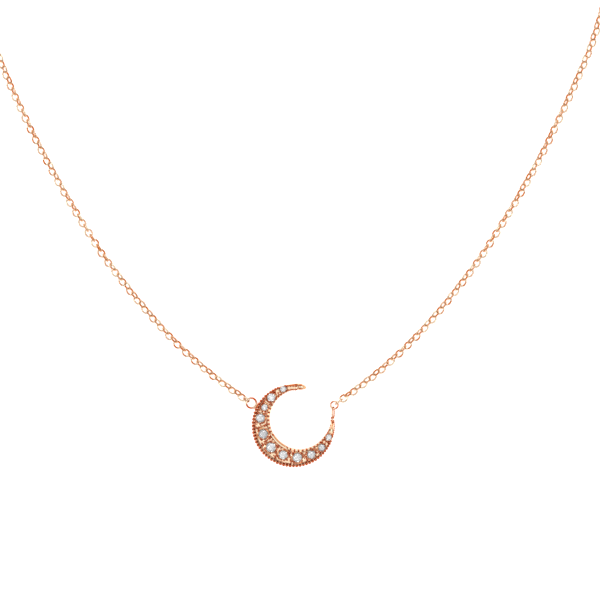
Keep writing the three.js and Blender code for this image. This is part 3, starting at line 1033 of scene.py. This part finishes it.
def clasp_body():
    """The hollow ring with its open mouth and, on the outside, the slot that the lever runs in."""
    arcs = np.concatenate([
        np.linspace(TUBE_ARC[0], SLOT_ARC[0], 16)[:-1],
        np.linspace(*SLOT_ARC, 40),
        np.linspace(SLOT_ARC[1], TUBE_ARC[1], 96)[1:],
    ])
    around = 40
    slot_columns = [k % around for k in range(-SLOT_HALF, SLOT_HALF)]
    verts, index, faces = [], {}, []

    def vertex(i, j, layer):
        key = (i, j % around, layer)
        if key not in index:
            q = CLASP["tube"] if layer == 0 else CLASP["bore"]
            arc = arcs[i]
            if layer == 0:
                near = min(arc - TUBE_ARC[0], TUBE_ARC[1] - arc)
                q -= 0.05 * max(0, 1 - near / 2.4) ** 2
            index[key] = len(verts)
            verts.append(tube_point(arc, 2 * math.pi * (j % around) / around, q))
        return index[key]

    def face(*corners):
        faces.append(tuple(vertex(*corner) for corner in corners))

    def open_cell(i, j):
        in_slot = SLOT_ARC[0] <= (arcs[i] + arcs[i + 1]) / 2 <= SLOT_ARC[1]
        return in_slot and (j % around) in slot_columns

    for i in range(len(arcs) - 1):
        for j in range(around):
            if open_cell(i, j):
                continue
            face((i, j, 0), (i + 1, j, 0), (i + 1, j + 1, 0), (i, j + 1, 0))
            face((i, j + 1, 1), (i + 1, j + 1, 1), (i + 1, j, 1), (i, j, 1))
            before = (i, j - 1), (i, j), (i + 1, j)
            after = (i, j + 1), (i + 1, j + 1), (i, j + 1)
            for other, a, b in (before, after):
                if open_cell(*other):
                    face((*a, 0), (*a, 1), (*b, 1), (*b, 0))
            for beyond, row in ((i - 1, i), (i + 1, i + 1)):
                if not 0 <= beyond < len(arcs) - 1 or open_cell(beyond, j):
                    face((row, j, 0), (row, j + 1, 0), (row, j + 1, 1), (row, j, 1))
    obj = make_object("clasp_tube", verts, faces, CLASP_GOLD)
    face_out(obj)
    bevel = obj.modifiers.new("soft_edges", "BEVEL")
    bevel.width = 0.025 * MM
    bevel.segments = 2
    bevel.limit_method = "ANGLE"
    bevel.angle_limit = math.radians(50)
    soften(obj, 50)
    return obj


clasp_tube = clasp_body()
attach(clasp_tube, "clasp")
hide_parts("clasp_body")


def clasp_bolt():
    """The sliding wire with its thumb lever."""
    parts = Parts()
    arcs = np.linspace(BOLT_ARC[0] + 5, BOLT_ARC[1] - 5, 60)  # its round ends add the rest
    parts.add(*wire_open([arc_point(CLASP["radius"], a) for a in arcs], BOLT_RADIUS, 18))
    post = [arc_point(CLASP["radius"] + r, LEVER_AT) for r in np.linspace(0.1, 0.86, 6)]
    parts.add(*wire_open(post, [0.1, 0.1, 0.1, 0.1, 0.11, 0.13], 14))
    parts.add(*ball(arc_point(CLASP["radius"] + 0.87, LEVER_AT), 0.24, 0.92, 14, 24))
    return parts.object("clasp_bolt_and_lever", CLASP_GOLD)


bolt = clasp_bolt()
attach(bolt, "bolt")
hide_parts("clasp_bolt")


def clasp_spring():
    """The coil spring in the tube, behind the bolt."""
    start, long = COIL_ARC[0], COIL_ARC[1] - COIL_ARC[0]
    line = np.array([
        tube_point(start + long * t, 2 * math.pi * COIL_TURNS * t, COIL_RADIUS)
        for t in np.linspace(0, 1, COIL_TURNS * 22)
    ])
    tangent = unit(np.gradient(line, axis=0))
    verts = []
    for k, p in enumerate(line):
        middle = arc_point(CLASP["radius"], start + long * k / (len(line) - 1))
        out = unit(p - middle)
        out = unit(out - tangent[k] * (out @ tangent[k]))
        over = np.cross(tangent[k], out)
        for a in np.linspace(0, 2 * math.pi, COIL_SIDES, endpoint=False):
            verts.append(p + COIL_WIRE * (math.cos(a) * out + math.sin(a) * over))
    faces = grid_faces(len(line), COIL_SIDES, False, True) + end_caps(len(line), COIL_SIDES)
    obj = make_object("clasp_coil_spring", verts, faces, STEEL)
    face_out(obj)
    return obj


spring = clasp_spring()
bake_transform(spring)
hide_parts("clasp_spring")


def standing_ring(name, centre, radius, tall, wire, body, node):
    """An oval link that stands on edge along Y, half of it tall that way and radius up."""
    turn = np.linspace(0, 2 * np.pi, 56, endpoint=False)
    y, z = centre[1] + tall * np.cos(turn), LIE + radius * np.sin(turn)
    points = np.stack([turn * 0 + centre[0], y, z], 1)
    swell = 1 + 0.07 * np.exp(-(((turn - 0.9) / 0.12) ** 2))
    obj = make_object(name, *wire_loop(points, (1, 0, 0), wire * swell, 14), CLASP_GOLD)
    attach(obj, body)
    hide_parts(node)
    return obj


jump = flat_ring(
    "jump_ring_of_clasp", CLASP_LINE + [0, -1.4], 1.0, 0.17, "clasp_ring", "clasp_jump_ring",
    CLASP_GOLD, join=20,
)
eye = standing_ring(
    "eye_of_clasp", CLASP_LINE + [0, -2.50], 0.42, 0.51, 0.12, "clasp", "clasp_eye",
)
collar_at = np.array([*(CLASP_LINE + [0, -3.05]), LIE])
collar = make_object("eye_solder", *ball(collar_at, 0.17, 0.9, 12, 18), CLASP_GOLD)
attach(collar, "clasp")
end_link = standing_ring(
    "end_link_right", END_LINE + [0, -1.01], 0.42, 0.71, 0.12, "end_link", "end_link",
)
end_ring = flat_ring(
    "end_ring_right", END_LINE + [0, -2.75], 1.5, 0.2, "end_ring", "end_ring",
    CLASP_GOLD, join=60, around=96,
)

declare_chain(left_chain, LEFT, "left_chain", "left_chain")
declare_chain(right_chain, RIGHT, "right_chain", "right_chain")

# ---- stage


FLOOR_HALF, FLOOR_DROP = 3, 0.00002  # m; the drop keeps it from meeting the necklace's underside


def add_floor():
    """A plain white surface, that glows a little so that it stays white under the necklace."""
    material = bpy.data.materials.new("floor_white")
    material.use_nodes = True
    shader = material.node_tree.nodes["Principled BSDF"]
    shader.inputs["Roughness"].default_value = 0.9
    shader.inputs["Specular IOR Level"].default_value = 0.1
    shader.inputs["Base Color"].default_value = (0.92, 0.92, 0.92, 1)
    shader.inputs["Emission Color"].default_value = (1, 1, 1, 1)
    shader.inputs["Emission Strength"].default_value = 0.7
    mesh = bpy.data.meshes.new("floor")
    corners = [(FLOOR_HALF * x, FLOOR_HALF * y, 0) for x, y in ((-1, -1), (1, -1), (1, 1), (-1, 1))]
    mesh.from_pydata(corners, [], [(0, 1, 2, 3)])
    mesh.materials.append(material)
    floor = bpy.data.objects.new("floor", mesh)
    bpy.context.scene.collection.objects.link(floor)
    floor.location.z = -FLOOR_DROP


AIM = (0, 0.02, 0)  # m; what the lights point at


def add_light(name, place, size, power):
    """A soft box at place, in m, with its width and height in m and its power in W."""
    data = bpy.data.lights.new(name, "AREA")
    data.shape = "RECTANGLE"
    data.size, data.size_y = size
    data.energy = power
    light = bpy.data.objects.new(name, data)
    bpy.context.scene.collection.objects.link(light)
    light.location = place
    direction = Vector(AIM) - Vector(place)
    light.rotation_euler = direction.to_track_quat("-Z", "Y").to_euler()


def add_world():
    """A grey room, darkest below and beside, with a bright ceiling."""
    world = bpy.data.worlds.new("studio")
    world.use_nodes = True
    nodes, links = world.node_tree.nodes, world.node_tree.links
    place = nodes.new("ShaderNodeTexCoord")
    split = nodes.new("ShaderNodeSeparateXYZ")
    links.new(place.outputs["Generated"], split.inputs["Vector"])
    ramp = nodes.new("ShaderNodeValToRGB")
    greys = (
        (0.02, 0.50), (0.35, 0.50), (0.60, 0.56), (0.78, 0.75), (0.88, 1.05), (0.97, 1.35),
        (0.995, 1.3),
    )
    for spot, grey in greys:
        stop = ramp.color_ramp.elements.new(spot)
        stop.color = (grey, grey, grey, 1)
    ramp.color_ramp.elements.remove(ramp.color_ramp.elements[0])
    ramp.color_ramp.elements.remove(ramp.color_ramp.elements[-1])
    links.new(split.outputs["Z"], ramp.inputs["Fac"])
    links.new(ramp.outputs["Color"], nodes["Background"].inputs["Color"])
    nodes["Background"].inputs["Strength"].default_value = 1.0
    bpy.context.scene.world = world


add_floor()
add_world()
add_light("left_box", (-0.45, 0.05, 0.42), (0.16, 0.30), 0.6)
add_light("right_box", (0.42, -0.12, 0.40), (0.12, 0.25), 0.35)
add_light("top_box", (0.05, 0.5, 0.5), (0.30, 0.12), 0.5)
bpy.context.scene.view_settings.view_transform = "Standard"
